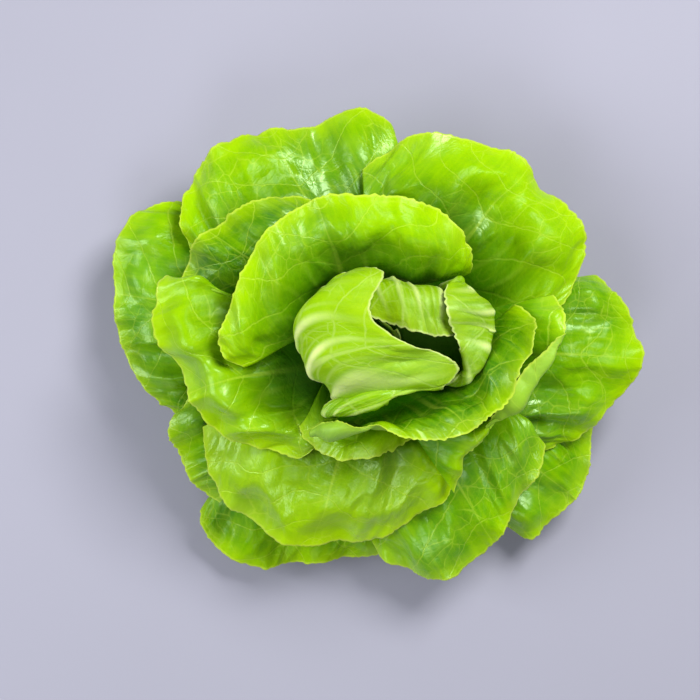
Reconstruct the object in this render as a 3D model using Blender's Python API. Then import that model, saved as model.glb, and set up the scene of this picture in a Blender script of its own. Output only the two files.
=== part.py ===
"""A butterhead lettuce, cut at the stem and standing on the cut, seen from above like an open rose.

The head is one short stem with broad leaves round it. Every leaf is its own closed solid. It is drawn
as a fan of spokes: each spoke is a cubic curve from the leaf's foot on the stem to a point of its rim.
The rim is given by a few hand-placed stations. The leaves are then built from the heart outwards, and
each one is eased off those inside it, so that they lie against each other and never cross.

Lengths in the tables are millimetres, and angles are degrees, anticlockwise from +X seen from above.
"""

import math

import bpy
import numpy as np
from mathutils.bvhtree import BVHTree

MM = 0.001

# The stem: a stump with a flat cut under it and a rounded growing tip.
STEM_PROFILE = [
    (0.0, 15.5), (1.2, 16.5), (12.0, 16.0), (26.0, 14.0), (40.0, 11.5), (50.0, 8.5), (55.0, 4.0)]
STEM_SIDES = 32

# The leaf blade, and the fleshy rib that runs up its middle.
BLADE = 0.8
RIB = 2.6
RIB_WIDTH = 5.0
FOOT_HALF_ANGLE = 46.0
FOOT_WING_RISE = 0.5

# The mesh of a leaf: cells across the fan and from foot to rim.
COLUMNS = 16
ROWS = 7

# Easing the leaves apart: the air left between them, how far a crossing is looked for, the rounds
# taken, how strongly a move spreads to its neighbours, and the largest move of one round.
GAP = 0.5
CONTACT_DEPTH = 2.5
ROUNDS = 44
SPREAD_UNTIL = [(26, 0.35), (35, 0.1), (ROUNDS, 0.0)]
LARGEST_MOVE = 2.5
PUSH_SHARE = 0.6
FINE = 2
FLOOR = 0.6

# Every leaf from the heart outwards: name, azimuth and height of its foot, the angle and length of its
# first rise, the count, size and phase of its waves, the curl of its lip, and its rim stations.
# A station is x, y, z, then how far the spoke runs level and drops before the rim, then the azimuth it
# runs in. Stations go anticlockwise.
LEAVES = [
    ("heart_upper_leaf", 80, 47, 66, 36, (3, 0.8, 0.5), 0.0, [
        (36, 12, 80, 14, 0, 200), (33, 4, 90, 24, 3, 235), (22, 4, 95, 34, 4, 262),
        (10, 8, 97, 34, 4, 270), (0, 11, 96, 30, 4, 282), (-5, 18, 90, 20, 2, 300),
        (-8, 25, 80, 12, 0, 320)]),
    ("heart_hood_leaf", 224, 44, 60, 45, (3, 1.0, 1.0), 0.0, [
        (-30, 20, 74, 12, 0, 60), (-10, 33, 93, 36, 4, 25), (6, 29, 104, 54, 6, 8),
        (-2, 21, 108, 56, 6, 0), (-5, 13, 110, 56, 6, -5), (3, 5, 111, 60, 6, -8),
        (15, -1, 108, 66, 6, 3), (27, -4, 104, 68, 4, 9), (38, -9, 99, 76, 4, 15),
        (31, -18, 95, 70, 2, 18), (18, -19, 94, 55, 2, 21), (3, -17, 94, 44, 2, 32), (-9, -19, 93, 32, 2, 39),
        (-22, -27, 88, 14, 0, 48)]),
    ("heart_right_leaf", 3, 41, 54, 44, (3, 0.9, 0.0), 0.0, [
        (37, -15, 86, 8, 0, 330), (40, -9, 91, 18, 0, 80), (35, 3, 95, 38, 3, 172),
        (31, 16, 97, 38, 3, 184), (31, 26, 93, 20, 0, 222), (36, 25, 84, 8, 0, 50)]),
    ("front_cup_leaf", 300, 38, 48, 42, (4, 1.5, 0.0), 1.5, [
        (-29, -38, 82, 10, 0, 70), (-19, -35, 90, 10, 0, 80), (-6, -36, 96, 6, 2, 120),
        (8, -39, 98, 6, 2, 240), (22, -41, 99, 16, 6, 290), (36, -40, 100, 20, 4, 297),
        (47, -34, 101, 20, 0, 305), (56, -25, 102, 18, -4, 315), (62, -14, 103, 16, -6, 325),
        (65, -4, 103, 14, -6, 335), (70, 8, 98, 12, -4, 350), (62, 16, 84, 8, 0, 20)]),
    ("crown_leaf", 118, 36, 60, 40, (4, 1.8, 0.6), 0.0, [
        (42, 30, 80, 8, 0, 40), (43, 37, 94, 14, 10, 52), (39, 46, 98, 18, 12, 60),
        (27, 56, 100, 24, 12, 70), (13, 64, 100, 28, 12, 80), (-1, 62, 99, 28, 12, 92),
        (-12, 63, 99, 28, 12, 100), (-22, 65, 98, 30, 12, 108), (-33, 59, 98, 28, 12, 120),
        (-44, 51, 97, 24, 10, 130), (-53, 38, 96, 22, 10, 142), (-60, 24, 95, 20, 10, 152),
        (-66, 8, 91, 20, 10, 165), (-69, -3, 86, 20, 8, 180), (-57, -11, 80, 10, 2, 195)]),
    ("right_fold_leaf", 332, 35, 60, 44, (3, 1.2, 0.3), 0.0, [
        (35, -66, 64, 6, 12, 290), (38, -54, 75, 4, 10, 290), (46, -40, 85, 8, 2, 130),
        (54, -28, 91, 18, 2, 138), (61, -17, 95, 24, 2, 142), (67, -9, 97, 26, 2, 146),
        (74, -4, 98, 22, 2, 152), (79, 3, 98, 16, 2, 170), (82, 10, 94, 8, 4, 345),
        (78, 20, 82, 8, 2, 0)]),
    ("front_curl_leaf", 256, 33, 58, 34, (3, 1.0, 0.0), 2.0, [
        (-32, -38, 60, 8, 6, 228), (-24, -47, 69, 12, 8, 240), (-14, -50, 73, 14, 10, 254),
        (-6, -50, 74, 14, 10, 264), (5, -46, 70, 12, 8, 276), (16, -42, 62, 8, 6, 288)]),
    ("left_fold_leaf", 203, 31, 56, 46, (4, 2.2, 0.2), -1.5, [
        (-82, 26, 74, 14, 8, 160), (-94, 33, 75, 22, 12, 165), (-98, 20, 75, 26, 16, 175),
        (-99, 6, 75, 28, 18, 185), (-93, -7, 75, 28, 18, 195), (-86, -17, 75, 28, 18, 205),
        (-81, -28, 75, 26, 16, 210), (-77, -38, 73, 24, 14, 212), (-66, -43, 70, 26, 12, 218),
        (-53, -48, 68, 26, 10, 225), (-40, -50, 67, 24, 10, 232), (-33, -54, 67, 20, 6, 238),
        (-27, -46, 66, 10, 0, 245)]),
    ("upper_left_leaf", 145, 29, 52, 44, (4, 2.0, 0.0), 0.0, [
        (-24, 62, 58, 14, 8, 112), (-44, 66, 66, 20, 10, 124), (-55, 63, 68, 22, 10, 131),
        (-66, 56, 67, 22, 10, 139), (-78, 47, 62, 20, 10, 149), (-86, 35, 56, 18, 8, 158),
        (-86, 20, 50, 14, 6, 166), (-76, 4, 42, 10, 4, 172)]),
    ("front_leaf", 252, 27, 60, 52, (4, 2.4, 0.4), -1.0, [
        (-78, -38, 46, 20, 12, 207), (-77, -53, 46, 28, 20, 214), (-72, -66, 44, 30, 26, 222),
        (-62, -80, 42, 32, 30, 232), (-49, -88, 41, 32, 32, 240), (-36, -92, 40, 34, 34, 248),
        (-22, -93, 40, 34, 34, 256), (-6, -91, 42, 34, 36, 265), (6, -89, 44, 32, 34, 272),
        (14, -81, 48, 28, 28, 278), (24, -75, 54, 22, 20, 285), (33, -70, 60, 14, 12, 293),
        (36, -60, 58, 6, 6, 300)]),
    ("front_right_leaf", 300, 25, 50, 48, (4, 2.4, 0.0), 0.0, [
        (-2, -88, 26, 20, 10, 266), (6, -101, 28, 28, 18, 273), (18, -107, 30, 32, 22, 280),
        (30, -110, 32, 34, 24, 285), (40, -104, 34, 34, 24, 290), (52, -97, 36, 32, 22, 297),
        (57, -88, 38, 28, 18, 302), (62, -76, 44, 26, 16, 308), (69, -67, 48, 24, 14, 315),
        (75, -54, 52, 22, 12, 322), (78, -43, 54, 20, 10, 330), (68, -34, 50, 10, 6, 335)]),
    ("upper_right_leaf", 48, 23, 46, 48, (4, 2.6, 0.0), -1.0, [
        (76, 10, 56, 16, 4, 8), (86, 19, 58, 22, 8, 14), (93, 34, 57, 28, 14, 22),
        (96, 45, 57, 32, 18, 28), (91, 57, 58, 34, 20, 34), (84, 66, 58, 34, 20, 40),
        (75, 71, 56, 36, 20, 45), (68, 84, 58, 34, 20, 50), (52, 89, 60, 34, 20, 58),
        (36, 93, 61, 34, 20, 66), (20, 94, 60, 32, 18, 76), (8, 90, 58, 28, 14, 86),
        (-6, 78, 52, 18, 8, 94)]),
    ("right_leaf", 354, 21, 42, 48, (4, 2.8, 0.3), -1.0, [
        (78, -48, 32, 14, 6, 324), (88, -48, 36, 18, 10, 328), (98, -41, 38, 24, 14, 333),
        (104, -31, 40, 28, 14, 340), (115, -24, 42, 32, 16, 346), (121, -10, 44, 34, 16, 353),
        (120, 5, 45, 34, 14, 0), (114, 17, 45, 32, 12, 7), (105, 28, 43, 28, 8, 14),
        (94, 33, 38, 22, 2, 20), (82, 30, 33, 14, 0, 24)]),
    ("top_leaf", 112, 19, 40, 46, (4, 2.8, 0.5), -1.0, [
        (8, 82, 38, 20, 8, 86), (13, 94, 43, 26, 14, 84), (4, 103, 45, 30, 18, 88),
        (-7, 109, 44, 34, 20, 92), (-18, 106, 44, 34, 20, 97), (-28, 99, 41, 34, 16, 103),
        (-40, 97, 44, 34, 20, 110), (-54, 99, 46, 34, 22, 117), (-68, 91, 47, 34, 22, 125),
        (-80, 81, 48, 32, 20, 133), (-88, 70, 48, 28, 16, 140), (-89, 56, 46, 24, 10, 147),
        (-83, 40, 42, 16, 6, 153)]),
    ("lower_left_leaf", 212, 17.5, 36, 42, (3, 1.8, 0.0), 0.0, [
        (-76, -20, 43, 14, 4, 198), (-91, -33, 41, 20, 8, 203), (-94, -41, 39, 22, 12, 206),
        (-91, -50, 34, 24, 12, 210), (-87, -58, 32, 24, 12, 214), (-83, -67, 30, 22, 10, 218),
        (-72, -74, 26, 16, 6, 224)]),
    ("left_leaf", 165, 16, 34, 46, (4, 2.6, 0.0), -1.0, [
        (-78, 62, 22, 14, 6, 142), (-92, 65, 28, 22, 10, 147), (-106, 65, 30, 28, 14, 151),
        (-115, 54, 32, 32, 16, 157), (-122, 38, 33, 34, 18, 163), (-120, 24, 33, 34, 16, 170),
        (-120, 8, 31, 34, 12, 177), (-117, -5, 29, 32, 8, 184), (-109, -18, 27, 28, 4, 190),
        (-98, -31, 24, 24, 0, 197), (-86, -40, 20, 16, -2, 204)]),
    ("lower_right_leaf", 322, 14.5, 30, 44, (4, 2.2, 0.2), 0.0, [
        (50, -82, 14, 16, 6, 303), (60, -89, 18, 22, 8, 306), (76, -89, 20, 26, 12, 311),
        (84, -81, 22, 28, 12, 316), (94, -73, 23, 30, 14, 321), (100, -60, 24, 30, 14, 328),
        (99, -50, 24, 28, 12, 333), (102, -38, 24, 24, 10, 339), (92, -26, 20, 16, 6, 344)]),
    ("lower_front_leaf", 242, 13, 28, 44, (4, 2.4, 0.6), 0.0, [
        (-78, -64, 16, 16, 6, 216), (-80, -84, 18, 24, 10, 224), (-74, -97, 17, 28, 12, 230),
        (-62, -103, 16, 30, 12, 236), (-46, -104, 15, 30, 12, 243), (-28, -102, 14, 30, 12, 251),
        (-10, -101, 14, 28, 12, 260), (6, -98, 14, 24, 10, 268), (16, -86, 12, 14, 6, 275)]),
]

# The lowest leaves lie under the others, on even arcs: name, azimuth, foot height, rim radius and
# height, and half the arc they span.
UNDER_LEAVES = [
    ("under_right_leaf", 350, 11.5, 100, 7, 40),
    ("under_top_leaf", 78, 10, 86, 6, 44),
    ("under_left_leaf", 182, 9, 100, 6, 40),
    ("under_front_leaf", 286, 8, 92, 5, 42),
]
UNDER_RISE = (20, 34)
UNDER_RUN = (26, 8)
UNDER_WAVES = (4, 2.2, 0.0)
UNDER_STATIONS = 7
UNDER_CORNER_PULL = 0.13

LEAF_COLOUR = (0.30, 0.56, 0.03, 1.0)
HEART_COLOUR = (0.50, 0.66, 0.12, 1.0)
STEM_COLOUR = (0.72, 0.76, 0.42, 1.0)


def stem_radius(z):
    """Radius of the stem at height z."""
    heights, radii = zip(*STEM_PROFILE)
    return np.interp(z, heights, radii)


def under_leaf(name, azimuth, height, radius, rim_height, half_arc):
    """One of the lowest leaves, as a row of the LEAVES table."""
    stations = []
    for share in np.linspace(-1, 1, UNDER_STATIONS):
        angle = azimuth + share * half_arc
        reach = radius * (1 - UNDER_CORNER_PULL * share**2)
        x, y = reach * math.cos(math.radians(angle)), reach * math.sin(math.radians(angle))
        stations.append((x, y, rim_height, *UNDER_RUN, angle))
    return (name, azimuth, height, *UNDER_RISE, UNDER_WAVES, 0.0, stations)


def direction(azimuth):
    """Level unit vectors at these azimuths in degrees."""
    angle = np.radians(azimuth)
    return np.stack([np.cos(angle), np.sin(angle), np.zeros_like(angle)], axis=-1)


def smooth_curve(points, count):
    """count + 1 rows spread evenly along a smooth curve through the given rows, x, y and z first."""
    points = np.asarray(points, float)
    steps = np.linalg.norm(np.diff(points[:, :3], axis=0), axis=1)
    at = np.concatenate([[0], np.cumsum(steps)])
    slopes = np.gradient(points, at, axis=0)
    where = np.linspace(0, at[-1], count + 1)
    left = np.clip(np.searchsorted(at, where, side="right") - 1, 0, len(at) - 2)
    width = (at[left + 1] - at[left])[:, None]
    t = (where - at[left])[:, None] / width
    return (
        points[left] * (1 + 2 * t) * (1 - t) ** 2
        + slopes[left] * width * t * (1 - t) ** 2
        + points[left + 1] * t**2 * (3 - 2 * t)
        - slopes[left + 1] * width * t**2 * (1 - t)
    )


def normals(grid):
    """Unit normals of a leaf's grid, on the side that faces away from the heart."""
    across, along = np.gradient(grid, axis=1), np.gradient(grid, axis=0)
    normal = np.cross(across, along)
    return normal / np.maximum(np.linalg.norm(normal, axis=-1, keepdims=True), 1e-9)


def leaf_grid(row, columns, rows):
    """Points of a leaf's middle surface: rows from foot to rim, columns anticlockwise."""
    _, azimuth, height, rise, rise_length, waves, lip, stations = row
    table = [[x, y, z, run, drop, *direction(angle)[:2]] for x, y, z, run, drop, angle in stations]
    rim = smooth_curve(table, columns)
    side = np.linspace(-1, 1, columns + 1)
    foot_way = direction(azimuth + side * FOOT_HALF_ANGLE)
    foot_height = height + FOOT_WING_RISE * side**2
    foot_radius = stem_radius(foot_height) + GAP + BLADE
    up = np.array([0.0, 0.0, 1.0])
    p0 = foot_way * foot_radius[:, None] + foot_height[:, None] * up
    climb = math.radians(rise)
    p1 = p0 + rise_length * (math.cos(climb) * foot_way + math.sin(climb) * up)
    p3 = rim[:, :3]
    way = np.column_stack([rim[:, 5], rim[:, 6], np.zeros(columns + 1)])
    p2 = p3 - way * rim[:, 3:4] + up * rim[:, 4:5]
    v = np.linspace(0, 1, rows + 1)[:, None, None]
    grid = (1 - v) ** 3 * p0 + 3 * v * (1 - v) ** 2 * p1 + 3 * v**2 * (1 - v) * p2 + v**3 * p3
    count, size, phase = waves
    wave = size * np.sin(2 * np.pi * (count * (side + 1) / 2 + phase))
    return grid - normals(grid) * (wave * v[..., 0] ** 3 + lip * v[..., 0] ** 5)[..., None]


def thickness(grid):
    """Thickness of a leaf at each point: the blade, and the rib that fades towards the rim."""
    steps = np.linalg.norm(np.diff(grid, axis=1), axis=2)
    along = np.concatenate([np.zeros((len(grid), 1)), np.cumsum(steps, axis=1)], axis=1)
    off = along - along[:, -1:] / 2
    v = np.linspace(0, 1, len(grid))[:, None]
    return BLADE + RIB * (1 - v) ** 1.3 * np.exp(-((off / RIB_WIDTH) ** 2))


def leaf_faces(grid):
    """Upper and lower points of a leaf. The rib stands out of its lower face only."""
    normal = normals(grid)
    upper = grid - normal * BLADE / 2
    lower = grid + normal * (thickness(grid) - BLADE / 2)[..., None]
    return upper, lower


def leaf_shell(grid):
    """Points and triangles of a leaf's closed solid, split alike on both faces."""
    upper, lower = leaf_faces(grid)
    rows, columns = grid.shape[0] - 1, grid.shape[1] - 1
    index = np.arange((rows + 1) * (columns + 1)).reshape(rows + 1, columns + 1)
    top = face_triangles(rows, columns)
    bottom = top[:, ::-1] + index.size
    ring = np.concatenate([index[0, :], index[1:, -1], index[-1, -2::-1], index[-2:0:-1, 0]])
    after = np.roll(ring, -1)
    below, after_below = ring + index.size, after + index.size
    edge = [np.stack([ring, after, after_below], 1), np.stack([ring, after_below, below], 1)]
    points = np.concatenate([upper.reshape(-1, 3), lower.reshape(-1, 3)])
    return points, np.concatenate([top, bottom, *edge])


def blend_matrix(cells):
    """Weights that set FINE points in every cell of a row of corners."""
    where, at = np.linspace(0, cells, cells * FINE + 1), np.arange(cells + 1)
    return np.stack([np.interp(where, at, corner) for corner in np.eye(cells + 1)], axis=1)


def face_triangles(rows, columns):
    """Triangles of one face of a leaf, seen from the heart."""
    index = np.arange((rows + 1) * (columns + 1)).reshape(rows + 1, columns + 1)
    a, b = index[:-1, :-1].ravel(), index[:-1, 1:].ravel()
    c, d = index[1:, 1:].ravel(), index[1:, :-1].ravel()
    return np.concatenate([np.stack([a, c, b], 1), np.stack([a, d, c], 1)])


def border_corners(rows, columns):
    """Which corners of a leaf lie on its border."""
    inside = np.zeros((rows + 1, columns + 1), bool)
    inside[1:-1, 1:-1] = True
    return ~inside.ravel()


def on_border(point, triangle, corners, border):
    """Whether a point of a triangle lies on the leaf's border."""
    for a, b in zip(triangle, np.roll(triangle, 1)):
        if border[a] and border[b]:
            way = corners[b] - corners[a]
            share = np.clip((point - corners[a]) @ way / (way @ way), 0, 1)
            if np.linalg.norm(point - corners[a] - share * way) < 0.05:
                return True
    return False


def presses(points, corners, triangles, tree, side, border):
    """Moves that take points to the right side of a face, and the index of the triangle each one meets."""
    moves = np.zeros_like(points)
    met = np.full(len(points), -1)
    low, high = corners.min(0) - CONTACT_DEPTH, corners.max(0) + CONTACT_DEPTH
    for k in np.nonzero(((points > low) & (points < high)).all(1))[0]:
        near, normal, index, distance = tree.find_nearest(points[k], CONTACT_DEPTH)
        if near is None:
            continue
        off = points[k] - np.array(near)
        way = np.array(normal) * side
        height = off @ way
        if height >= GAP:
            continue
        if distance >= GAP and on_border(np.array(near), triangles[index], corners, border):
            continue
        if abs(height) < 0.75 * distance:
            if distance >= GAP:
                continue
            way, height = off / max(distance, 1e-6), distance
        moves[k] = way * (GAP * 1.1 - height)
        met[k] = index
    return moves, met


def pushes(grids, mix, triangles, border, stem):
    """The move that each leaf's corners need to clear the stem and the other leaves, as a mean."""
    faces = [[face.reshape(-1, 3) for face in leaf_faces(grid)] for grid in grids]
    trees = [[BVHTree.FromPolygons(face.tolist(), triangles.tolist()) for face in pair] for pair in faces]
    fine = [[mix @ face for face in pair] for pair in faces]
    total = [np.zeros_like(pair[0]) for pair in faces]
    weight = [np.zeros(len(pair[0])) for pair in faces]

    def add(leaf, moves, met, other=None, share=1.0):
        total[leaf] += share * mix.T @ moves
        weight[leaf] += mix.T @ (met >= 0)
        if other is not None:
            for move, corners in zip(moves[met >= 0], triangles[met[met >= 0]]):
                total[other][corners] -= move / 3
                weight[other][corners] += 1 / 3

    for outer in range(len(grids)):
        add(outer, *presses(fine[outer][0], *stem), share=2.0)
        for inner in range(outer):
            face = faces[inner][1], triangles, trees[inner][1]
            add(outer, *presses(fine[outer][0], *face, -1, border), inner)
            face = faces[outer][0], triangles, trees[outer][0]
            add(inner, *presses(fine[inner][1], *face, 1, border), outer)
    mean = [move / np.maximum(share, 0.5)[:, None] for move, share in zip(total, weight)]
    return [move.reshape(grid.shape) for move, grid in zip(mean, grids)]


def spread(move, share):
    """The move with each corner drawn towards the mean of its neighbours."""
    ring = np.pad(move, ((1, 1), (1, 1), (0, 0)), mode="edge")
    mean = (ring[:-2, 1:-1] + ring[2:, 1:-1] + ring[1:-1, :-2] + ring[1:-1, 2:]) / 4
    return move + share * (mean - move)


def settled_grids():
    """Every leaf's name and its grid, once the leaves are eased apart and clear of the floor."""
    rows = LEAVES + [under_leaf(*low) for low in UNDER_LEAVES]
    drawn = [leaf_grid(row, COLUMNS, ROWS) for row in rows]
    moves = [np.zeros_like(grid) for grid in drawn]
    mix = np.kron(blend_matrix(ROWS), blend_matrix(COLUMNS))
    triangles, border = face_triangles(ROWS, COLUMNS), border_corners(ROWS, COLUMNS)
    points, faces = stem_shell()
    tree = BVHTree.FromPolygons(points.tolist(), faces.tolist())
    stem = points, faces, tree, 1, np.zeros(len(points), bool)
    for step in range(ROUNDS):
        grids = [grid + move for grid, move in zip(drawn, moves)]
        share = next(share for until, share in SPREAD_UNTIL if step < until)
        for k, push in enumerate(pushes(grids, mix, triangles, border, stem)):
            push = push * PUSH_SHARE
            size = np.linalg.norm(push, axis=-1, keepdims=True)
            push *= np.minimum(1, LARGEST_MOVE / np.maximum(size, 1e-9))
            moves[k] = spread(moves[k] + push, share)
            moves[k][..., 2] = np.maximum(moves[k][..., 2], FLOOR + BLADE / 2 - drawn[k][..., 2])
    return [(row[0], grid + move) for row, grid, move in zip(rows, drawn, moves)]


def stem_shell():
    """Points and triangles of the stem, turned round its axis."""
    angles = np.arange(STEM_SIDES) * 2 * np.pi / STEM_SIDES
    ring = np.stack([np.cos(angles), np.sin(angles)], 1)
    points = [np.column_stack([ring * r, np.full(STEM_SIDES, z)]) for z, r in STEM_PROFILE]
    points = np.concatenate([*points, [[0, 0, STEM_PROFILE[0][0]], [0, 0, STEM_PROFILE[-1][0] + 1.0]]])
    triangles = []
    for level in range(len(STEM_PROFILE) - 1):
        for i in range(STEM_SIDES):
            a, b = level * STEM_SIDES + i, level * STEM_SIDES + (i + 1) % STEM_SIDES
            triangles += [(a, b, b + STEM_SIDES), (a, b + STEM_SIDES, a + STEM_SIDES)]
    last = (len(STEM_PROFILE) - 1) * STEM_SIDES
    for i in range(STEM_SIDES):
        j = (i + 1) % STEM_SIDES
        triangles += [(j, i, len(points) - 2), (last + i, last + j, len(points) - 1)]
    return points, np.array(triangles)


def material(name, colour, roughness):
    made = bpy.data.materials.new(name)
    made.use_nodes = True
    shader = made.node_tree.nodes["Principled BSDF"]
    shader.inputs["Base Color"].default_value = colour
    shader.inputs["Roughness"].default_value = roughness
    made.diffuse_color = colour
    return made


def add_object(name, points, triangles, finish):
    mesh = bpy.data.meshes.new(name)
    mesh.from_pydata((points * MM).tolist(), [], triangles.tolist())
    mesh.materials.append(finish)
    mesh.shade_smooth()
    mesh.set_sharp_from_angle(angle=math.radians(60))
    made = bpy.data.objects.new(name, mesh)
    bpy.context.scene.collection.objects.link(made)
    return made


def main():
    for old in list(bpy.data.objects):
        bpy.data.objects.remove(old)
    leaf_green = material("leaf_green", LEAF_COLOUR, 0.4)
    heart_green = material("heart_green", HEART_COLOUR, 0.4)
    add_object("stem", *stem_shell(), material("stem_flesh", STEM_COLOUR, 0.55))
    for name, grid in settled_grids():
        add_object(name, *leaf_shell(grid), heart_green if name.startswith("heart") else leaf_green)


if __name__ == "__main__":
    main()
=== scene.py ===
"""Looks of the butterhead lettuce: veined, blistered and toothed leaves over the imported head.

Lengths are in millimetres until a mesh is made. A leaf is a grid with its rows from foot to rim and
its columns across it. Its s and t are the lengths across and along it, and its v is the share of the
way from foot to rim.
"""

import math

import bpy
import numpy as np
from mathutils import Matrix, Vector
from mathutils.bvhtree import BVHTree


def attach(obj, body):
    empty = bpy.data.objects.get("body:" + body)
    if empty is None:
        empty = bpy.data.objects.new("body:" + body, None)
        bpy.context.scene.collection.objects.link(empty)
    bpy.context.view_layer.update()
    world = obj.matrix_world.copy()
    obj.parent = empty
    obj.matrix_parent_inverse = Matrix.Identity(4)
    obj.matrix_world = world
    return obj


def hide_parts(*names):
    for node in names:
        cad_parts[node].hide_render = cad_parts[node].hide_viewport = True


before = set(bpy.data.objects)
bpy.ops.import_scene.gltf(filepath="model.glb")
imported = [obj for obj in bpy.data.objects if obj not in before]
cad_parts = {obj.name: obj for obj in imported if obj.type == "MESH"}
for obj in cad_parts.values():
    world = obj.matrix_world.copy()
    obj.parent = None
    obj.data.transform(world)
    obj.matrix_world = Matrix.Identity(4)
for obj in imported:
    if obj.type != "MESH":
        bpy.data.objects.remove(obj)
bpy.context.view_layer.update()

MM = 0.001

# Cells of a packed leaf's upper face, from foot to rim and across.
GRID_ROWS = 7
GRID_COLUMNS = 16

# Cells of a finished leaf, and of one under the head. The rows crowd at the rim.
FINE_CELLS = (54, 160)
LOW_CELLS = (36, 96)
ROW_CROWDING = 1.35

# Random waves over a leaf: first seed, to which a leaf adds its number, size, and how much longer
# the waves are along the leaf than across it.
WAVES = {
    "net_x": (10, 30, 1), "net_y": (40, 30, 1), "side_vein": (70, 45, 1), "swell": (100, 40, 1),
    "pleat": (250, 21, 3.0), "fan": (280, 50, 1), "crease": (310, 27, 2.2), "wrinkle": (340, 10, 2.5),
    "wrinkled": (370, 35, 1),
}
RIM_WAVES = {"ruffle": (160, 15), "tooth": (190, 6.0), "fine_tooth": (220, 2.4)}
PUCKER_SEED = 130
STEM_SEED = 300

# The blade, and the ribs on its back. A heart leaf's ribs are as wide as a share of their spacing.
EDGE_BLADE = 0.28
BLADE = 0.75
EDGE_WIDTH = 4.0
MIDRIB = 2.4
MIDRIB_WIDTH = 4.2
SIDE_RIB = 0.5
SIDE_RIB_WIDTH = 1.2
HEART_RIB = 0.9
HEART_RIB_SHARE = 0.13

# Side veins: their spacing along the midrib, their slant, how round they meet on the midrib, how
# they bend, and the distance across them as a share of the distance along the leaf.
VEIN_SPACING = 17.0
VEIN_SLANT = 0.85
VEIN_ROUND = 9.0
VEIN_CURVE = 0.0022
VEIN_BEND = 3.0
VEIN_ACROSS = 0.75

# The ribs that fan out from the foot, and the two nets of veins. Each leaf has its own part of the
# net's plane.
FAN_RIBS = 8.0
FAN_BEND = 0.3
NET_CELL = 9.0
SMALL_CELL = 2.8
NET_BEND = 2.5
NET_SHIFT = 400.0
NET_ROW = 5

# The strips sunken along the net's veins, the side veins and the midrib.
NET_STRIP = 2.2
VEIN_STRIP = 3.6
MIDRIB_STRIP = 5.0

# Heights of the swellings, waves and teeth, and the size of the puckers.
NET_SWELL = 0.35
VEIN_SWELL = 0.7
PUCKER = 1.3
PUCKER_SIZE = 24
PLEAT = 1.5
CREASE = 1.5
WRINKLE = 0.55
RUFFLE = 1.2
RUFFLE_REACH = 14
TOOTH = 0.6
TOOTH_REACH = 3.5

# Rise, steepness and roundness of the sharp crests. Wrinkles are where their own wave is high.
CRESTS = {"crease": (0.6, 1.6, 0.004), "wrinkle": (0.5, 1.3, 0.006)}
WRINKLED = (-0.3, 0.6)

# Where each form sets in and is full, as shares of the way from foot to rim, and how much of some is
# lost at the rim and from how far off it.
SETS_IN = {
    "veins": (0.1, 0.4), "pucker": (0.25, 0.6), "pleat": (0.35, 0.8), "crease": (0.3, 0.6),
    "wrinkle": (0.3, 0.6), "fold": (0.3, 0.6), "groove": (0.25, 0.6), "side_rib": (0, 0.2),
    "heart_rib": (0.05, 0.2),
}
HEART_RIB_END = (1.0, 0.5)
CALM = {"veins": (0.5, 6), "pleat": (0.75, 12), "crease": (0.5, 12)}

# Neighbours are looked for up to REACH off. A leaf moves toward one only as far as KEPT_GAP allows,
# and less and less from CLEAR + EASE to CLEAR. Its side edges hold still.
REACH = 8.0
CLEAR = 1.0
EASE = 2.5
KEPT_GAP = 0.9
SIDE_HOLD = 9
TOOTH_HOLD = 5

# A leaf folds back along a crest near its rim, with a valley behind it, which is a share of the crest.
# Both lie some way off the rim. FOLD gives the height of the crest and the drop of the rim.
FOLD_PLACE = 15.0
FOLD_WIDTH = 6.0
DROP_REACH = 10
VALLEY = 0.7
VALLEY_PLACE = 2.2 * FOLD_PLACE
VALLEY_WIDTH = 9.0
FOLD = {
    "left_fold_leaf": (3.0, 1.8), "left_leaf": (1.4, 0.6), "right_leaf": (1.4, 0.6),
    "front_leaf": (0.5, -0.8),
}
OTHER_FOLD = (0.6, 0.4)

# A groove from foot to rim. GROOVE gives its place across the leaf, from 0 to 1, and its depth.
GROOVE_REACH = 8.0
GROOVE_ROUND = 2.0
GROOVE = {"top_leaf": (0.39, 2.6), "upper_right_leaf": (0.43, 2.8), "front_right_leaf": (0.45, 1.8)}
OTHER_GROOVE = (0.5, 0.9)

# Each leaf's painted shade below 0, and above 0 its younger green, which is partly painted light.
TINT_AND_SHADING = {
    "upper_left_leaf": -0.55, "front_cup_leaf": -0.65, "left_fold_leaf": 0.3, "crown_leaf": 0.25,
    "top_leaf": 0.15, "front_leaf": 0.5, "front_right_leaf": 0.05, "right_leaf": 0.1,
    "right_fold_leaf": -0.1, "left_leaf": -0.1, "lower_left_leaf": -0.15, "lower_front_leaf": -0.1,
    "lower_right_leaf": 0.05, "upper_right_leaf": 0.2, "front_curl_leaf": 0.3,
    "heart_right_leaf": -0.7, "heart_upper_leaf": -0.35,
}

# Colours as they look on screen, and how far the pale foot reaches, how broad the ribs are and how
# strongly the net and the fan of ribs show.
# The shade colour is painted shade, laid in the throat and on leaves tinted below 0.
GREEN_LOOK = {
    "fresh": (136, 194, 0), "deep": (74, 144, 0), "shade": (34, 98, 0), "young": (178, 220, 0),
    "vein": (204, 231, 76), "back": (156, 200, 72),
    "pale_foot": 0.42, "rib": 1.0, "net_show": 1.0, "fan_show": 0.4,
}
HEART_LOOK = {
    "fresh": (138, 188, 0), "deep": (102, 158, 0), "shade": (62, 120, 0), "young": (176, 212, 20),
    "vein": (226, 240, 158), "back": (146, 190, 6),
    "pale_foot": 0.6, "rib": 2.2, "net_show": 0.55, "fan_show": 0.95,
}

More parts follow.
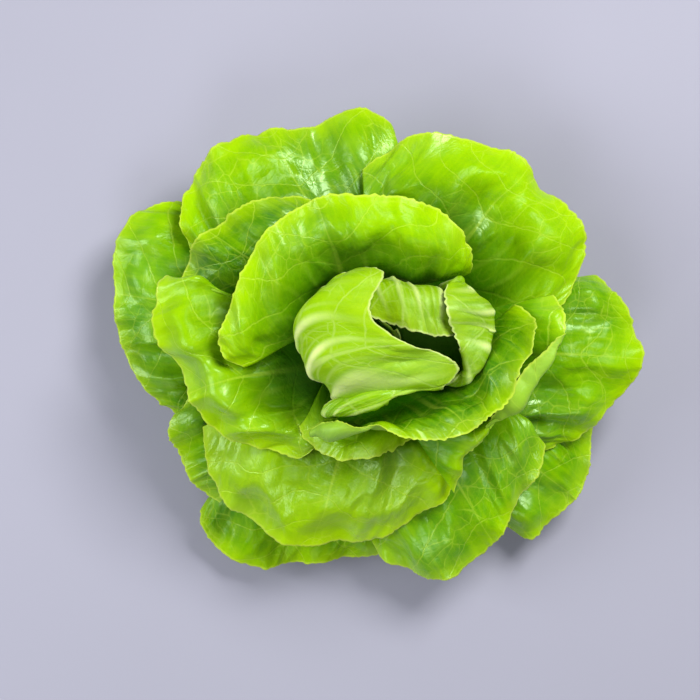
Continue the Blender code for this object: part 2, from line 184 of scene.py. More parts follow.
# Noises of the finish: waves per metre, and detail. The streaks' one runs over the leaf's own s and t.
NOISES = {
    "wiggle": (210.0, 2.0), "fan": (28.0, 2.0), "net": (45.0, 2.0), "cloud": (22.0, 3.0),
    "speck": (160.0, 3.0), "streak": (1.0, 3.0), "rough": (60.0, 2.0), "gloss": (24.0, 2.0),
    "grain": (420.0, 2.0), "stem": (90.0, 4.0), "stem_grain": (500.0, 3.0), "floor": (3.0, 3.0),
}

# Fades of the finish: where one starts and ends, and its values there if they aren't 0 and 1.
FADES = {
    # Over the way from foot to rim.
    "throat_shade": (0.28, 0.86, 0.95, 0.0), "inner_shade": (0.55, 0.96, 0.85, 0.0), "midrib_end": (0.3, 0.85, 0.75, 0.2),
    # Over shares of a rib's width or spacing.
    "side_vein": (0.2, 1.0, 1.0, 0.0), "midrib": (0.3, 1.0, 1.0, 0.0), "thin_rib": (0.02, 0.22, 0.2, 0.0),
    # Over the distance from a vein or the rim.
    "net_vein": (0.08, 0.45, 1.0, 0.0), "small_vein": (0.05, 0.45, 1.0, 0.0), "blister": (0.0, 2.2),
    "small_blister": (0.0, 0.8), "net_field": (0.4, 3.2), "rim_line": (0.2, 1.2, 0.6, 0.0),
    "young_rim": (0.5, 9.0, 1.0, 0.0),
    # From the front of a leaf to its back.
    "back_foot": (0.0, 1.0, 0.1, 0.7),
    # Over the noises.
    "fan": (0.35, 0.55, 0.55, 1.0), "net": (0.42, 0.62, 0.05, 1.0), "cloud": (0.35, 0.68),
    "speck": (0.35, 0.7), "streak": (0.4, 0.66), "rough": (0.3, 0.7, 0.26, 0.38),
    "gloss": (0.43, 0.6, 0.12, 0.72), "stem_rough": (0.3, 0.7, 0.4, 0.6),
    # Over the stem's height in metres.
    "stem_green": (0.02, 0.05), "stem_cut": (0.0005, 0.008, 1.0, 0.0),
}

# How strongly each part of the colour shows, and each part of the fine height.
SHARES = {
    "streak": 0.16, "speck": 0.15, "net_field": 0.08, "young_rim": 0.42, "back": 0.52,
    "side_vein": 0.26, "net_vein": 0.25, "small_vein": 0.06, "stem_cut": 0.6,
}
HEIGHTS = {"blister": 0.16, "small_blister": 0.08, "grain": 0.12, "side_vein": 0.2}

# Widths of the coloured side veins and midrib at foot and rim. A rib of the fan is coloured between
# the shares of FAN_EDGE and reaches between those of FAN_REACH, and more where the ribs are broad.
SIDE_VEIN_WIDTHS = (0.9, 0.3)
MIDRIB_WIDTHS = (3.4, 0.4)
FAN_REACH = (0.1, 0.55)
BROAD_REACH = 0.22
FAN_EDGE = (0.02, 0.12)
BROAD_EDGE = 0.04
THIN_RIBS = 3.0

# How far the veins wiggle, and how drawn out the streaks are, as waves per millimetre.
WIGGLE = 2.6
SIDE_WIGGLE = 0.05
STREAK_ACROSS = 0.45
STREAK_ALONG = 0.035

# Gloss and light under the skin, and the strength and height of the bumps.
BACK_ROUGH = 0.16
GLOSS_TINT = (0.74, 1.0, 0.62, 1.0)
FLESH = 0.2
FLESH_RADIUS = (0.9, 1.0, 0.1)
FLESH_DEPTH = 2.0
LEAF_BUMP = (0.7, 0.6)
STEM_BUMP = (0.5, 0.4)

# Colours of the stem and the floor as they look on screen.
STEM_LOOK = {
    "flesh": (214, 222, 158), "cloud": (184, 206, 112), "green": (150, 196, 40), "cut": (206, 186, 132),
}
FLOOR_LOOK = {"light": (170, 170, 187), "dark": (162, 162, 178)}
FLOOR_ROUGH = 0.9

# The stem's rings up its side, sides round it, and rings over its cut. Its skin wobbles and has
# flutes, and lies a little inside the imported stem.
STEM_ROWS = 72
STEM_SIDES = 96
CUT_RINGS = 8
STEM_WAVE = 9
STEM_RADIUS = 15
STEM_WOBBLE = 0.25
FLUTES = 5
FLUTE = 0.15
STEM_INSET = 0.4
LEAST_RADIUS = 0.15

# Studio, in metres and watts. A lamp has a name, a place, a size, a power and a colour.
FLOOR_HALF = 3.0
LAMP_AIM = (0, 0, 0.05)
LIGHTS = (
    ("key", (0.4, 0.5, 0.85), 0.4, 11.2, (1.0, 0.99, 0.96)),
    ("left_window", (-0.7, 0.0, 0.55), 0.45, 4.0, (0.98, 0.99, 1.0)),
    ("front_window", (-0.1, -0.7, 0.85), 0.45, 3.1, (0.98, 0.99, 1.0)),
)
SKY_COLOUR = (0.95, 0.97, 1.0, 1.0)
SKY_STRENGTH = 0.2

# The camera's height, and its picture in pixels: width, focal length, and the offset of its axis.
CAMERA_HEIGHT = 1.0
SENSOR = 36.0
PICTURE = 700
FOCAL = 2098
AXIS_X = -25
AXIS_Y = -7


def noise(points, size, seed, count=9):
    """Smooth random values of about -1 to 1, with waves of the given size."""
    points = np.asarray(points, float)
    rng = np.random.default_rng(seed)
    way = rng.normal(size=(count, points.shape[-1]))
    way /= np.linalg.norm(way, axis=1, keepdims=True)
    way *= 2 * np.pi / (size * rng.uniform(0.75, 1.5, (count, 1)))
    phase = rng.uniform(0, 2 * np.pi, count)
    return np.sin(points @ way.T + phase).sum(-1) / math.sqrt(count / 2) / 1.6


def smooth_step(low, high, value):
    t = np.clip((value - low) / (high - low), 0, 1)
    return t * t * (3 - 2 * t)


def bell(away, width):
    return np.exp(-((away / width) ** 2))


def ridged(wave, softness):
    """A wave's height above or below 0, with its turns at 0 a little rounded."""
    return np.sqrt(wave**2 + softness)


def off_line(number):
    """How far a number is from the nearest whole one."""
    return np.abs(number - np.round(number))


def welded(node):
    """Points in millimetres and triangles of a node's mesh, with the points at one place joined."""
    mesh = node.data
    points = np.empty(len(mesh.vertices) * 3)
    mesh.vertices.foreach_get("co", points)
    points = points.reshape(-1, 3) / MM
    number = {}
    keys = np.round(points * 1000).astype(int)
    ids = np.array([number.setdefault(tuple(key), len(number)) for key in keys])
    first = np.unique(ids, return_index=True)[1]
    triangles = {tuple(ids[list(face.vertices)]) for face in mesh.polygons}
    return points[first], sorted(triangles)


def walk(third, a, d):
    """The upper face's corners found from one cell's left side, or None where the pattern breaks."""
    grid = -np.ones((GRID_ROWS + 1, GRID_COLUMNS + 1), int)
    for row in range(GRID_ROWS):
        left = a, d
        for column in range(GRID_COLUMNS):
            c = third.get((a, d))
            b = third.get((a, c))
            if b is None or third.get((c, b)) != a:
                return None
            cell = {(row, column): a, (row, column + 1): b, (row + 1, column + 1): c, (row + 1, column): d}
            for place, corner in cell.items():
                if grid[place] not in (-1, corner):
                    return None
                grid[place] = corner
            a, d = b, c
        a = left[1]
        c = grid[row + 1, 1]
        # The cell above shares the side from its corner a to its corner b.
        up = third.get((c, a))
        d = third.get((up, a))
        if up is None or d is None:
            return grid if row == GRID_ROWS - 1 else None
    return grid


def leaf_corners(node):
    """A leaf's upper face: rows from foot to rim, columns anticlockwise."""
    points, triangles = welded(node)
    third = {}
    for triangle in triangles:
        for k in range(3):
            third[triangle[k], triangle[(k + 1) % 3]] = triangle[(k + 2) % 3]
    # Six triangles meet at each point of the pattern's inside.
    count = np.bincount(np.array(triangles).ravel())
    edge = {k for k in range(len(count)) if count[k] != 6}
    for a, d in sorted(third):
        grid = walk(third, a, d) if a in edge else None
        if grid is None or not edge.issuperset(grid[[0, 0, -1, -1], [0, -1, 0, -1]].tolist()):
            continue
        corners = points[grid]
        foot, rim = (np.linalg.norm(corners[row, :, :2], axis=1).mean() for row in (0, -1))
        if foot < rim:
            return corners
    raise ValueError("no leaf pattern in " + node.name)


def spline_weights(count, where):
    """Weights that carry values at 0..count to the places given, along smooth curves."""
    values = np.eye(count + 1)
    slopes = np.gradient(values, axis=0)
    left = np.clip(where.astype(int), 0, count - 1)
    t = (where - left)[:, None]
    return (
        values[left] * (1 + 2 * t) * (1 - t) ** 2
        + slopes[left] * t * (1 - t) ** 2
        + values[left + 1] * t**2 * (3 - 2 * t)
        - slopes[left + 1] * t**2 * (1 - t)
    )


def rounded_weights(count, where):
    """Weights that carry values at 0..count along a rounded curve that only its ends touch."""
    padded = np.zeros((count + 3, count + 1))
    padded[1:-1] = np.eye(count + 1)
    padded[0, :2] = 2, -1
    padded[-1, -2:] = -1, 2
    left = np.clip(where.astype(int), 0, count - 1)
    t = (where - left)[:, None]
    basis = ((1 - t) ** 3, 3 * t**3 - 6 * t**2 + 4, -3 * t**3 + 3 * t**2 + 3 * t + 1, t**3)
    return sum(share / 6 * padded[left + k] for k, share in enumerate(basis))


def unit(vectors):
    return vectors / np.maximum(np.linalg.norm(vectors, axis=-1, keepdims=True), 1e-9)


def normals(grid):
    """Unit normals on the back of the leaf, away from the heart."""
    return unit(np.cross(np.gradient(grid, axis=1), np.gradient(grid, axis=0)))


def lengths(grid, axis):
    """Running length along the rows or columns of a grid."""
    steps = np.linalg.norm(np.diff(grid, axis=axis), axis=2)
    start = np.zeros_like(steps.take([0], axis=axis))
    return np.concatenate([start, np.cumsum(steps, axis=axis)], axis=axis)


def set_net(cells):
    """Settings of the net's pattern, the same on the mesh and in the materials."""
    cells.voronoi_dimensions = "2D"
    cells.feature = "DISTANCE_TO_EDGE"
    cells.inputs["Scale"].default_value = 1 / NET_CELL
    cells.inputs["Randomness"].default_value = 0.85


def probe_net(points):
    """Distance from each point of the net's plane to the nearest vein of the net."""
    mesh = bpy.data.meshes.new("net_probe")
    mesh.from_pydata([(x, y, 0) for x, y in points.tolist()], [], [])
    probe = bpy.data.objects.new("net_probe", mesh)
    bpy.context.scene.collection.objects.link(probe)
    group = bpy.data.node_groups.new("net_probe", "GeometryNodeTree")
    group.interface.new_socket("Geometry", in_out="INPUT", socket_type="NodeSocketGeometry")
    group.interface.new_socket("Geometry", in_out="OUTPUT", socket_type="NodeSocketGeometry")
    nodes, links = group.nodes, group.links
    entry, leave = nodes.new("NodeGroupInput"), nodes.new("NodeGroupOutput")
    cells = nodes.new("ShaderNodeTexVoronoi")
    set_net(cells)
    store = nodes.new("GeometryNodeStoreNamedAttribute")
    store.data_type = "FLOAT"
    store.inputs["Name"].default_value = "net"
    links.new(entry.outputs[0], store.inputs["Geometry"])
    links.new(nodes.new("GeometryNodeInputPosition").outputs[0], cells.inputs["Vector"])
    links.new(cells.outputs["Distance"], store.inputs["Value"])
    links.new(store.outputs["Geometry"], leave.inputs[0])
    probe.modifiers.new("net", "NODES").node_group = group
    evaluated = probe.evaluated_get(bpy.context.evaluated_depsgraph_get())
    found = np.empty(len(points))
    evaluated.data.attributes["net"].data.foreach_get("value", found)
    bpy.data.objects.remove(probe)
    bpy.data.meshes.remove(mesh)
    bpy.data.node_groups.remove(group)
    return found * NET_CELL


class Leaf:
    """One leaf's finer grid, its lengths across and along, and where its veins run."""

    def __init__(self, name, number):
        self.name, self.number = name, number
        rows, columns = LOW_CELLS if name.startswith("under") else FINE_CELLS
        along = 1 - (1 - np.linspace(0, 1, rows + 1)) ** ROW_CROWDING
        across = np.linspace(0, 1, columns + 1)
        row = along * GRID_ROWS
        up = (rounded_weights(GRID_ROWS, row) + spline_weights(GRID_ROWS, row)) / 2
        over = rounded_weights(GRID_COLUMNS, across * GRID_COLUMNS)
        self.grid = np.einsum("ri,cj,ijk->rck", up, over, leaf_corners(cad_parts[name]))
        self.v = np.broadcast_to(along[:, None], self.grid.shape[:2])
        width, length = lengths(self.grid, 1), lengths(self.grid, 0)
        middle = columns // 2
        self.s = width - width[:, [middle]]
        self.t = (length + length[:, [middle]]) / 2
        self.to_rim = self.t[-1] - self.t
        self.to_side = np.minimum(self.s - self.s[:, :1], self.s[:, -1:] - self.s)
        bends = np.stack([self.wave("net_x"), self.wave("net_y")], -1)
        self.net = np.stack([self.s, self.t], -1) + NET_BEND * bends
        self.net += NET_SHIFT * np.array([number % NET_ROW, number // NET_ROW])
        spread = ridged(self.s, VEIN_ROUND)
        bent = self.t - VEIN_SLANT * spread + VEIN_CURVE * spread**2 + VEIN_BEND * self.wave("side_vein")
        self.side_veins = bent / VEIN_SPACING
        self.to_vein = off_line(self.side_veins) * VEIN_SPACING * VEIN_ACROSS
        self.fan = across * FAN_RIBS + FAN_BEND * self.wave("fan")

    def wave(self, kind):
        """Random values of about -1 to 1 over the leaf."""
        seed, size, stretch = WAVES[kind]
        return noise(np.stack([self.s, self.t / stretch], -1), size, seed + self.number)

    def rim_wave(self, kind, count=9):
        """Random values of about -1 to 1 along the rim."""
        seed, size = RIM_WAVES[kind]
        around = lengths(self.grid, 1)[-1]
        return noise(np.stack([around, 0 * around], -1), size, seed + self.number, count)

    def rim(self, reach):
        """How near a point is to the rim, from 0 at this many millimetres off it to 1 on it."""
        return np.clip(1 - self.to_rim / reach, 0, 1)

    def full(self, kind):
        """How fully a form has set in, from 0 at the foot to 1."""
        return smooth_step(*SETS_IN[kind], self.v)

    def calm(self, kind):
        """The share of a form that is left near the rim."""
        share, reach = CALM[kind]
        return 1 - share * self.rim(reach)


def vein_swell(leaf, net):
    """Rise of the blade between the veins."""
    blister = 1 - bell(net, NET_STRIP)
    panel = 1 - bell(leaf.to_vein, VEIN_STRIP)
    half = 1 - bell(leaf.s, MIDRIB_STRIP)
    body = leaf.full("veins") * leaf.calm("veins")
    size = 0.7 + 0.5 * leaf.wave("swell")
    return body * size * (NET_SWELL * (blister - 0.6) * panel + VEIN_SWELL * (panel - 0.6) * half)


def crests(leaf, kind):
    """A wave's sharp crests, which stand where it crosses 0."""
    rise, steepness, softness = CRESTS[kind]
    return rise - steepness * ridged(leaf.wave(kind), softness)


def waves(leaf):
    """Height of the puckers, pleats, creases, wrinkles and ruffle."""
    lift = PUCKER * leaf.full("pucker") * noise(leaf.grid, PUCKER_SIZE, PUCKER_SEED + leaf.number)
    lift += PLEAT * leaf.full("pleat") * leaf.calm("pleat") * leaf.wave("pleat")
    lift += CREASE * leaf.full("crease") * leaf.calm("crease") * crests(leaf, "crease")
    wrinkled = smooth_step(*WRINKLED, leaf.wave("wrinkled"))
    lift += WRINKLE * leaf.full("wrinkle") * wrinkled * crests(leaf, "wrinkle")
    return lift + RUFFLE * leaf.rim(RUFFLE_REACH) ** 2 * leaf.rim_wave("ruffle")


def fold(leaf):
    """Height of the crest near the rim, with the rim turned down before it and a valley behind it."""
    crest, drop = FOLD.get(leaf.name, OTHER_FOLD)
    lift = crest * bell(leaf.to_rim - FOLD_PLACE, FOLD_WIDTH) - drop * leaf.rim(DROP_REACH) ** 2
    lift -= VALLEY * crest * bell(leaf.to_rim - VALLEY_PLACE, VALLEY_WIDTH)
    return lift * leaf.full("fold")


def groove(leaf):
    """Depth of the groove from foot to rim."""
    place, depth = GROOVE.get(leaf.name, OTHER_GROOVE)
    away = leaf.s - leaf.s[:, [round(place * (leaf.s.shape[1] - 1))]]
    return depth * leaf.full("groove") * np.exp(-ridged(away, GROOVE_ROUND) / GROOVE_REACH)


def thickness(leaf, room):
    """Thickness of the blade with its midrib, side ribs and, on a heart leaf, the fan of ribs."""
    v = leaf.v
    blade = EDGE_BLADE + (BLADE - EDGE_BLADE) * smooth_step(0, EDGE_WIDTH, leaf.to_rim)
    blade = blade + MIDRIB * (1 - v) ** 1.6 * bell(leaf.s, MIDRIB_WIDTH)
    side = bell(leaf.to_vein, SIDE_RIB_WIDTH) * leaf.full("side_rib")
    blade += SIDE_RIB * (1 - v) ** 0.7 * side * room
    if leaf.name.startswith("heart"):
        ribs = bell(off_line(leaf.fan), HEART_RIB_SHARE)
        blade += HEART_RIB * room * ribs * leaf.full("heart_rib") * smooth_step(*HEART_RIB_END, v)
    return blade


def shape(leaf, net, others):
    """A leaf's upper and lower faces, swollen, waved and toothed as far as its neighbours allow."""
    grid, normal = leaf.grid, normals(leaf.grid)
    near = np.empty(grid.shape[:2])
    for place in np.ndindex(near.shape):
        near[place] = others.find_nearest(grid[place] + normal[place] * BLADE / 2, REACH)[3] or REACH
    room = np.clip((near - CLEAR) / EASE, 0.0, 1.0)
    lift = vein_swell(leaf, net) + waves(leaf) + fold(leaf) / np.maximum(room, 0.35) - groove(leaf)
    limit = np.maximum(near - KEPT_GAP, 0.0)
    lift = np.clip(lift * room, -limit, limit) * smooth_step(0, SIDE_HOLD, leaf.to_side)
    upper = grid - normal * lift[..., None]
    tooth = np.abs(leaf.rim_wave("tooth")) * 1.1 + 0.35 * leaf.rim_wave("fine_tooth", 5) + 0.6
    tooth = TOOTH * tooth * leaf.rim(TOOTH_REACH) ** 1.5 * smooth_step(0, TOOTH_HOLD, leaf.to_side)
    upper = upper + unit(np.gradient(grid, axis=0)) * tooth[..., None]
    return upper, upper + normals(upper) * thickness(leaf, room)[..., None]


def leaf_mesh(leaf, upper, lower):
    """A closed mesh of both faces, with the leaf's own places kept on its points."""
    rows, columns = upper.shape[:2]
    index = np.arange(rows * columns).reshape(rows, columns)
    corners = index[:-1, :-1], index[1:, :-1], index[1:, 1:], index[:-1, 1:]
    top = np.stack([corner.ravel() for corner in corners], 1)
    ring = np.concatenate([index[0, :], index[1:, -1], index[-1, -2::-1], index[-2:0:-1, 0]])
    after = np.roll(ring, -1)
    edge = np.stack([ring, after, after + index.size, ring + index.size], 1)
    faces = np.concatenate([top, top[:, ::-1] + index.size, edge])
    points = np.concatenate([upper.reshape(-1, 3), lower.reshape(-1, 3)]) * MM
    mesh = bpy.data.meshes.new(leaf.name + "_piece")
    mesh.from_pydata(points.tolist(), [], faces.tolist())
    # Each leaf's tint and painted shading, kept on its points.
    tint_and_shading = np.full(leaf.s.shape, TINT_AND_SHADING.get(leaf.name, 0.0))
    for name, values in (
        ("place", (leaf.s, leaf.t, leaf.v)),
        ("veins", (leaf.net[..., 0], leaf.net[..., 1], leaf.side_veins)),
        ("fan_rim_tint_and_shading", (leaf.fan, leaf.to_rim, tint_and_shading)),
    ):
        layer = mesh.attributes.new(name, "FLOAT_VECTOR", "POINT")
        both = np.tile(np.stack(values, -1).reshape(-1, 3), (2, 1))
        layer.data.foreach_set("vector", both.astype(np.float32).ravel())
    back = mesh.attributes.new("back", "FLOAT", "POINT")
    back.data.foreach_set("value", np.repeat([0.0, 1.0], index.size).astype(np.float32))
    mesh.shade_smooth()
    return mesh


def rgb(red, green, blue):
    """A colour given as it looks on screen, from 0 to 255, as the linear values a shader takes."""
    shares = (((c / 255 + 0.055) / 1.055) ** 2.4 if c > 10 else c / 255 / 12.92 for c in (red, green, blue))
    return tuple(shares) + (1.0,)


def screen_colours(look):
    """A look with its colours made linear and its other values left as they are."""
    return {key: rgb(*part) if isinstance(part, tuple) else part for key, part in look.items()}


class Nodes:
    """Short ways to add a material's nodes and links."""

    def __init__(self, name):
        self.material = bpy.data.materials.new(name)
        self.material.use_nodes = True
        self.tree = self.material.node_tree
        self.shader = self.tree.nodes["Principled BSDF"]
        self.position = self.add("ShaderNodeTexCoord").outputs["Object"]

    def add(self, kind, **settings):
        node = self.tree.nodes.new(kind)
        for key, value in settings.items():
            setattr(node, key, value)
        return node

    def join(self, source, target):
        if isinstance(source, (int, float, tuple)):
            target.default_value = source
        else:
            self.tree.links.new(source, target)

    def finish(self, **inputs):
        """Join values to the shader's inputs, named with _ for a space."""
        for name, value in inputs.items():
            self.join(value, self.shader.inputs[name.replace("_", " ")])

    def math(self, operation, a, b=0.0):
        node = self.add("ShaderNodeMath", operation=operation)
        self.join(a, node.inputs[0])
        self.join(b, node.inputs[1])
        return node.outputs[0]

    def plus(self, a, b):
        return self.math("ADD", a, b)

    def minus(self, a, b):
        return self.math("SUBTRACT", a, b)

    def times(self, a, b):
        return self.math("MULTIPLY", a, b)

    def most(self, a, b):
        return self.math("MAXIMUM", a, b)

    def off_line(self, number):
        """How far a number is from the nearest whole one."""
        return self.math("ABSOLUTE", self.minus(number, self.math("ROUND", number)))

    def ramp(self, value, low, high, to_low=0.0, to_high=1.0):
        node = self.add("ShaderNodeMapRange", interpolation_type="SMOOTHSTEP")
        for socket, part in zip(node.inputs, (value, low, high, to_low, to_high)):
            self.join(part, socket)
        return node.outputs[0]

    def fade(self, name, value):
        """A value faded by the curve of this name."""
        return self.ramp(value, *FADES[name])

    def mix(self, share, a, b):
        node = self.add("ShaderNodeMix", data_type="RGBA")
        sockets = [s for s in node.inputs if s.enabled]
        for socket, value in zip(sockets, (share, a, b)):
            self.join(value, socket)
        return [s for s in node.outputs if s.enabled][0]

    def attribute(self, name):
        return self.add("ShaderNodeAttribute", attribute_name=name).outputs

    def split(self, vector):
        node = self.add("ShaderNodeSeparateXYZ")
        self.join(vector, node.inputs[0])
        return node.outputs

    def vector(self, x, y):
        node = self.add("ShaderNodeCombineXYZ")
        self.join(x, node.inputs[0])
        self.join(y, node.inputs[1])
        return node.outputs[0]

    def noise(self, name, vector=None):
        node = self.add("ShaderNodeTexNoise")
        self.join(self.position if vector is None else vector, node.inputs["Vector"])
        node.inputs["Scale"].default_value, node.inputs["Detail"].default_value = NOISES[name]
        return node.outputs["Fac"]

    def patches(self, name):
        """A noise faded by the curve of the same name."""
        return self.fade(name, self.noise(name))

    def bump(self, height, strength, distance):
        node = self.add("ShaderNodeBump")
        node.inputs["Strength"].default_value = strength
        node.inputs["Distance"].default_value = distance * MM
        self.join(height, node.inputs["Height"])
        return node.outputs[0]


class LeafSkin(Nodes):
    """Waxy leaf: young rim, pale foot and veins, a paler matt back, and swellings of the blade."""

    def __init__(self, name, look):
        super().__init__(name)
        self.look = screen_colours(look)
        self.s, self.t, self.v = self.split(self.attribute("place")["Vector"])
        self.fan, self.to_rim, self.tint_and_shading = self.split(self.attribute("fan_rim_tint_and_shading")["Vector"])
        self.is_back = self.attribute("back")["Fac"]
        self.is_front = self.minus(1.0, self.is_back)
        # Painted shade deep between the leaves, on the front faces and strongest near the foot.
        self.throat_shade = self.times(self.fade("throat_shade", self.v), self.is_front)
        self.find_nets()
        self.find_ribs()
        self.finish(
            Base_Color=self.colour(),
            Roughness=self.plus(self.patches("rough"), self.times(self.is_back, BACK_ROUGH)),
            Normal=self.bump(self.relief(), *LEAF_BUMP),
            Specular_IOR_Level=self.patches("gloss"),
            Specular_Tint=GLOSS_TINT,
            Subsurface_Weight=FLESH,
            Subsurface_Radius=FLESH_RADIUS,
            Subsurface_Scale=FLESH_DEPTH * MM,
        )

    def find_nets(self):
        """Distances to the side veins and to the two nets' veins, all a little wavy."""
        net_x, net_y, side_veins = self.split(self.attribute("veins")["Vector"])
        wiggle = self.times(self.minus(self.noise("wiggle"), 0.5), WIGGLE)
        flat = self.vector(self.plus(net_x, wiggle), self.minus(net_y, wiggle))
        cells = self.add("ShaderNodeTexVoronoi")
        set_net(cells)
        self.join(flat, cells.inputs["Vector"])
        self.net = self.times(cells.outputs["Distance"], NET_CELL)
        small = self.add("ShaderNodeTexVoronoi", voronoi_dimensions="2D", feature="DISTANCE_TO_EDGE")
        small.inputs["Scale"].default_value = 1 / SMALL_CELL
        self.join(flat, small.inputs["Vector"])
        self.small_net = self.times(small.outputs["Distance"], SMALL_CELL)
        side_veins = self.plus(side_veins, self.times(wiggle, SIDE_WIGGLE))
        self.to_vein = self.times(self.off_line(side_veins), VEIN_SPACING * VEIN_ACROSS)

    def find_ribs(self):
        """Where the side veins, the midrib and the fan of ribs with thinner ones between them are."""
        rib, v = self.look["rib"], self.v
        width = self.ramp(v, 0.1, 1.0, *(part * rib for part in SIDE_VEIN_WIDTHS))
        self.side_mask = self.fade("side_vein", self.math("DIVIDE", self.to_vein, width))
        width = self.ramp(v, 0.0, 0.9, *(part * rib for part in MIDRIB_WIDTHS))
        self.mid_mask = self.fade("midrib", self.math("DIVIDE", self.math("ABSOLUTE", self.s), width))
        start, end = (part + BROAD_REACH * rib for part in FAN_REACH)
        reach = self.ramp(v, start, end, self.look["fan_show"], 0.0)
        broad = self.ramp(self.off_line(self.fan), FAN_EDGE[0], FAN_EDGE[1] + BROAD_EDGE * rib, 1.0, 0.0)
        thin = self.fade("thin_rib", self.off_line(self.times(self.fan, THIN_RIBS)))
        self.fan_mask = self.times(self.times(self.most(broad, thin), reach), self.patches("fan"))

    def blade_colour(self):
        """Green of the blade: clouds, painted inner shade, the leaf's tint with painted shading, streaks,
        specks.
        """
        look, tint_and_shading = self.look, self.tint_and_shading
        drawn_out = self.vector(self.times(self.s, STREAK_ACROSS), self.times(self.t, STREAK_ALONG))
        streaks = self.fade("streak", self.noise("streak", drawn_out))
        colour = self.mix(self.patches("cloud"), look["fresh"], look["deep"])
        for share, over in (
            # Painted shade over the inner part of the front face, fading out toward the rim.
            (self.times(self.fade("inner_shade", self.v), self.is_front), "deep"),
            # The leaf's tint: above 0 a younger green, partly painted light; below 0 painted shade.
            (self.most(tint_and_shading, 0.0), "young"),
            (self.times(self.math("MINIMUM", tint_and_shading, 0.0), -1.0), "shade"),
            (self.times(streaks, SHARES["streak"] * look["rib"]), "young"),
            (self.times(self.patches("speck"), SHARES["speck"]), "young"),
            (self.times(self.fade("net_field", self.net), SHARES["net_field"]), "deep"),
            (self.times(self.fade("young_rim", self.to_rim), SHARES["young_rim"]), "young"),
        ):
            colour = self.mix(share, colour, look[over])
        return colour

    def vein_mask(self):
        """How much of the veins' colour shows, with a pale line along the rim."""
        net_show = self.look["net_show"]
        patchy = self.patches("net")
        net = self.times(self.fade("net_vein", self.net), patchy)
        small = self.times(self.fade("small_vein", self.small_net), patchy)
        mask = self.times(self.side_mask, SHARES["side_vein"] * net_show)
        for other in (
            self.times(self.mid_mask, self.fade("midrib_end", self.v)),
            self.times(net, SHARES["net_vein"] * net_show),
            self.fan_mask,
            self.times(small, SHARES["small_vein"] * net_show),
            self.fade("rim_line", self.to_rim),
        ):
            mask = self.most(mask, other)
        # The veins give way to the painted shade in the throat.
        return self.times(mask, self.minus(1.0, self.throat_shade))

    def colour(self):
        """The leaf's colour: blade, pale foot, painted shade in the throat, paler back and veins."""
        look = self.look
        pale = self.ramp(self.v, 0.05, look["pale_foot"], 1.0, 0.0)
        pale = self.times(pale, self.fade("back_foot", self.is_back))
        colour = self.mix(pale, self.blade_colour(), look["vein"])
        # Painted shade in the throat.
        colour = self.mix(self.throat_shade, colour, look["shade"])
        colour = self.mix(self.times(self.is_back, SHARES["back"]), colour, look["back"])
        return self.mix(self.vein_mask(), colour, look["vein"])

    def relief(self):
        """Fine height: blisters between the nets' veins, grain, and sunken side veins."""
        height = self.times(self.fade("blister", self.net), HEIGHTS["blister"])
        small = self.times(self.fade("small_blister", self.small_net), HEIGHTS["small_blister"])
        height = self.plus(height, small)
        height = self.plus(height, self.times(self.noise("grain"), HEIGHTS["grain"]))
        return self.minus(height, self.times(self.side_mask, HEIGHTS["side_vein"]))


def stem_material():
    """Moist cut stem: pale flesh, greener higher up, with a browner skin near the cut."""
    n = Nodes("stem_skin")
    look = screen_colours(STEM_LOOK)
    height = n.split(n.position)[2]
    cloud = n.noise("stem")
    colour = n.mix(cloud, look["flesh"], look["cloud"])
    colour = n.mix(n.fade("stem_green", height), colour, look["green"])
    colour = n.mix(n.times(n.fade("stem_cut", height), SHARES["stem_cut"]), colour, look["cut"])
    n.finish(
        Base_Color=colour,
        Roughness=n.fade("stem_rough", cloud),
        Normal=n.bump(n.noise("stem_grain"), *STEM_BUMP),
        Subsurface_Weight=FLESH,
        Subsurface_Scale=FLESH_DEPTH * MM,
    )
    return n.material


def floor_material():
    n = Nodes("floor")
    look = screen_colours(FLOOR_LOOK)
    n.finish(Base_Color=n.mix(n.noise("floor"), look["light"], look["dark"]), Roughness=FLOOR_ROUGH)
    return n.material


def put(mesh, node, finish):
    """Set one piece in place of its node."""
    piece = bpy.data.objects.new(node + "_piece", mesh)
    bpy.context.scene.collection.objects.link(piece)
    mesh.materials.append(finish)
    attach(piece, "root")
    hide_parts(node)


def rings_round(radius, angle, z):
    """Points of the rings of these radii round the stem's axis at these heights."""
    return np.stack(np.broadcast_arrays(radius * np.cos(angle), radius * np.sin(angle), z[:, None]), -1)


def stem_piece(finish):
    """The stump, a little fluted, with a flat cut."""
    points, _ = welded(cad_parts["stem"])
    heights, radii = points[:, 2], np.linalg.norm(points[:, :2], axis=1)
    levels = np.unique(np.round(heights, 2))
    outline = [radii[np.abs(heights - level) < 0.01].max() for level in levels]
    z = np.linspace(levels[0], levels[-1], STEM_ROWS)
    angle = np.linspace(0, 2 * np.pi, STEM_SIDES, endpoint=False)
    wobble = STEM_WOBBLE * noise(rings_round(STEM_RADIUS, angle, z), STEM_WAVE, STEM_SEED)
    wobble += FLUTE * np.sin(FLUTES * angle) - STEM_INSET
    wobble *= smooth_step(0, 3, z[-1] - z)[:, None]
    side = rings_round(np.maximum(np.interp(z, levels, outline)[:, None] + wobble, LEAST_RADIUS), angle, z)
    cut = [side[0] * [k / CUT_RINGS, k / CUT_RINGS, 1] for k in range(1, CUT_RINGS)]
    rings = np.concatenate([np.array(cut), side])
    points = np.concatenate([rings.reshape(-1, 3), [[0, 0, z[0]], [0, 0, z[-1]]]]) * MM
    index = np.arange(len(points) - 2).reshape(-1, STEM_SIDES)
    after = np.roll(index, -1, axis=1)
    faces = np.stack([index[:-1], after[:-1], after[1:], index[1:]], -1).reshape(-1, 4).tolist()
    low, high = len(points) - 2, len(points) - 1
    faces += [(int(b), int(a), low) for a, b in zip(index[0], after[0])]
    faces += [(int(a), int(b), high) for a, b in zip(index[-1], after[-1])]
    mesh = bpy.data.meshes.new("stem_piece")
    mesh.from_pydata(points.tolist(), [], faces)
    mesh.shade_smooth()
    put(mesh, "stem", finish)


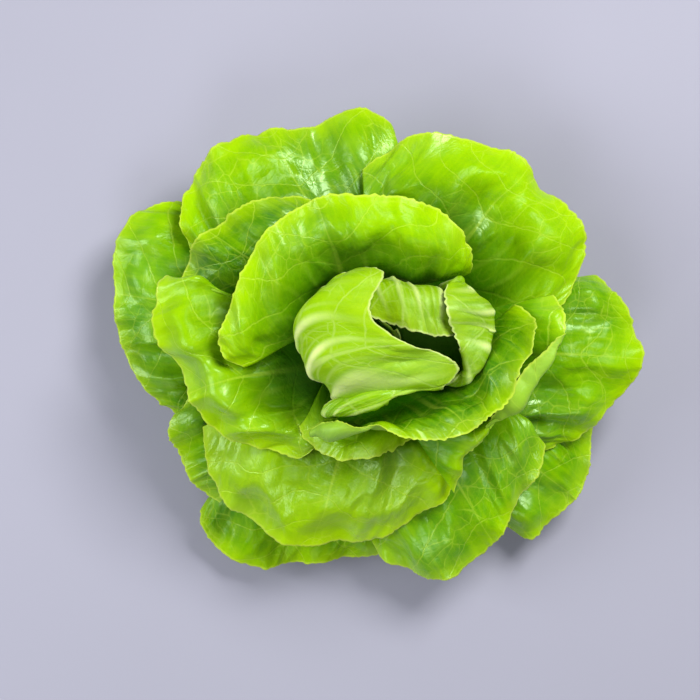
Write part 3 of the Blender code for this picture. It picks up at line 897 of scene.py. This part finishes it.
def neighbours(shells, name):
    """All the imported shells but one, as a tree that finds the nearest point."""
    points, triangles = [], []
    for other, (corners, faces) in shells.items():
        if other != name:
            triangles += [tuple(k + len(points) for k in face) for face in faces]
            points += corners.tolist()
    return BVHTree.FromPolygons(points, triangles)


def leaves():
    green = LeafSkin("leaf_skin", GREEN_LOOK).material
    heart = LeafSkin("heart_skin", HEART_LOOK).material
    names = [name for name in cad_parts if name.endswith("_leaf")]
    made = [Leaf(name, number) for number, name in enumerate(sorted(names))]
    net = probe_net(np.concatenate([leaf.net.reshape(-1, 2) for leaf in made]))
    shells = {name: welded(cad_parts[name]) for name in names + ["stem"]}
    start = 0
    for leaf in made:
        own = net[start:start + leaf.s.size].reshape(leaf.s.shape)
        start += leaf.s.size
        upper, lower = shape(leaf, own, neighbours(shells, leaf.name))
        is_heart = leaf.name.startswith("heart")
        finish, slot = (heart, "heart_leaf") if is_heart else (green, "green_leaf")
        put(leaf_mesh(leaf, upper, lower), leaf.name, finish)


def floor():
    mesh = bpy.data.meshes.new("floor")
    corners = [(x * FLOOR_HALF, y * FLOOR_HALF, 0) for x, y in ((-1, -1), (1, -1), (1, 1), (-1, 1))]
    mesh.from_pydata(corners, [], [(0, 1, 2, 3)])
    mesh.materials.append(floor_material())
    stage = bpy.data.objects.new("floor", mesh)
    bpy.context.scene.collection.objects.link(stage)


def light(name, place, size, power, colour):
    lamp = bpy.data.lights.new(name, "AREA")
    lamp.energy, lamp.size, lamp.color = power, size, colour
    holder = bpy.data.objects.new(name, lamp)
    holder.location = place
    holder.rotation_euler = (Vector(LAMP_AIM) - Vector(place)).to_track_quat("-Z", "Y").to_euler()
    bpy.context.scene.collection.objects.link(holder)


def studio():
    """Pale floor, three soft lamps, a dim sky, and the camera that looks straight down."""
    floor()
    world = bpy.data.worlds.new("studio")
    bpy.context.scene.world = world
    world.use_nodes = True
    sky = world.node_tree.nodes["Background"]
    sky.inputs["Color"].default_value = SKY_COLOUR
    sky.inputs["Strength"].default_value = SKY_STRENGTH
    for lamp in LIGHTS:
        light(*lamp)
    camera = bpy.data.objects.new("camera", bpy.data.cameras.new("camera"))
    bpy.context.scene.collection.objects.link(camera)
    camera.location = (0, 0, CAMERA_HEIGHT)
    camera.data.sensor_width = SENSOR
    camera.data.lens = SENSOR * FOCAL / PICTURE
    camera.data.shift_x = AXIS_X / PICTURE
    camera.data.shift_y = AXIS_Y / PICTURE
    bpy.context.scene.camera = camera
    bpy.context.scene.view_settings.view_transform = "Standard"


studio()
stem_piece(stem_material())
leaves()
